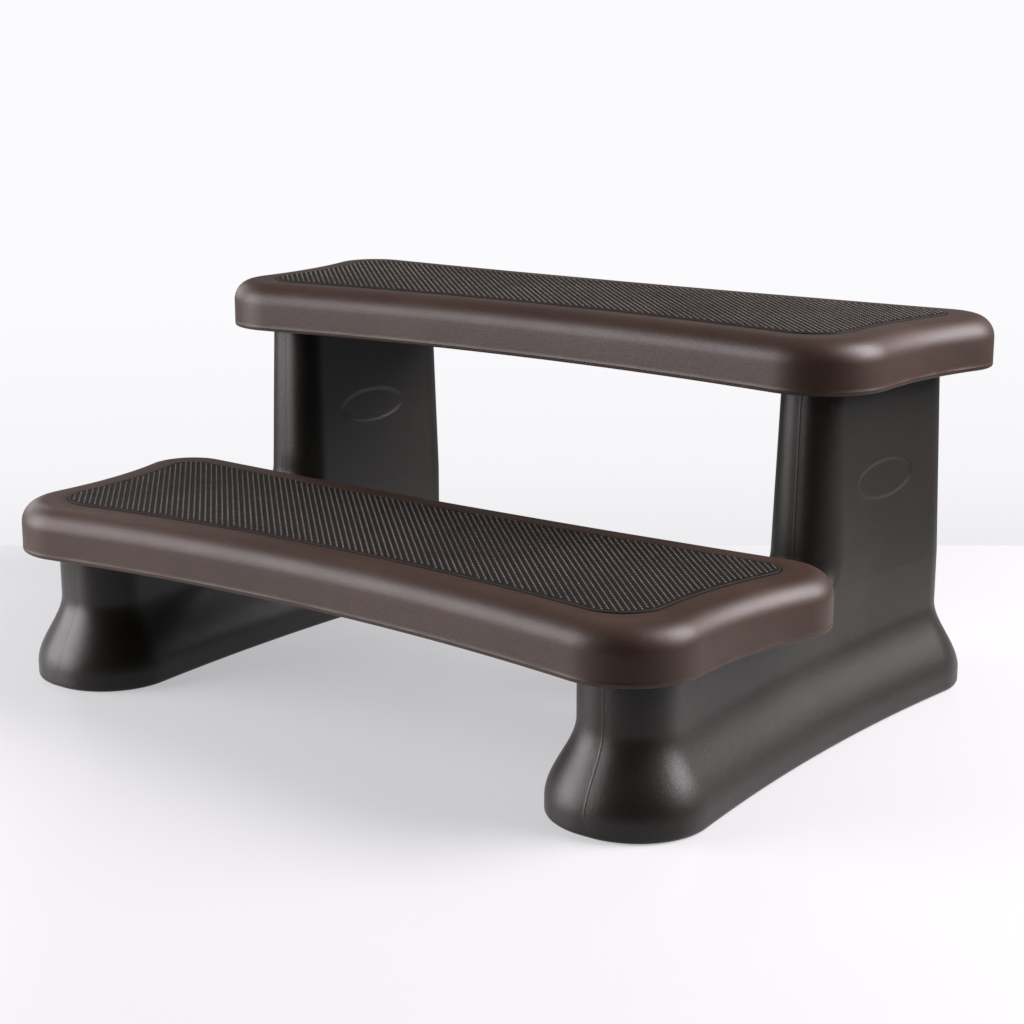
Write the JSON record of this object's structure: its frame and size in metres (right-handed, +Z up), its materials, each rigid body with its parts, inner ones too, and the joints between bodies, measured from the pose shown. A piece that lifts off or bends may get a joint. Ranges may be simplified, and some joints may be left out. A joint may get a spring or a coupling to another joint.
{
  "type": "spa steps",
  "caption": "Free-standing spa steps: wide waisted treads with studded grip mats, one above and behind the other, on hollow stepped side risers with flared feet.",
  "frame": {"origin": "on the floor, under the middle of the whole object", "axes": "+X along the width of the treads, +Y from the lower tread to the upper one, +Z up"},
  "size_m": [0.9114, 0.6705, 0.413],
  "materials": {
    "tread_plastic": "satin warm brown moulded polyethylene",
    "riser_plastic": "satin warm charcoal moulded polyethylene",
    "mat_rubber": "matt studded grip rubber",
    "plug_plastic": "matt moulded plug",
    "zinc_steel": "zinc plated",
    "insert_brass": "turned",
    "bond_film": "cured adhesive film"
  },
  "bodies": {
    "root": {"left_riser": "riser_plastic", "left_riser_inserts": "insert_brass", "left_riser_plugs": "plug_plastic", "right_riser": "riser_plastic", "right_riser_inserts": "insert_brass", "right_riser_plugs": "plug_plastic", "lower_tread": "tread_plastic", "lower_tread_screws": "zinc_steel", "lower_tread_washers": "zinc_steel", "lower_tread_plugs": "plug_plastic", "lower_mat": "mat_rubber", "lower_mat_adhesive": "bond_film", "upper_tread": "tread_plastic", "upper_tread_screws": "zinc_steel", "upper_tread_washers": "zinc_steel", "upper_tread_plugs": "plug_plastic", "upper_mat": "mat_rubber", "upper_mat_adhesive": "bond_film"}
  },
  "joints": []
}
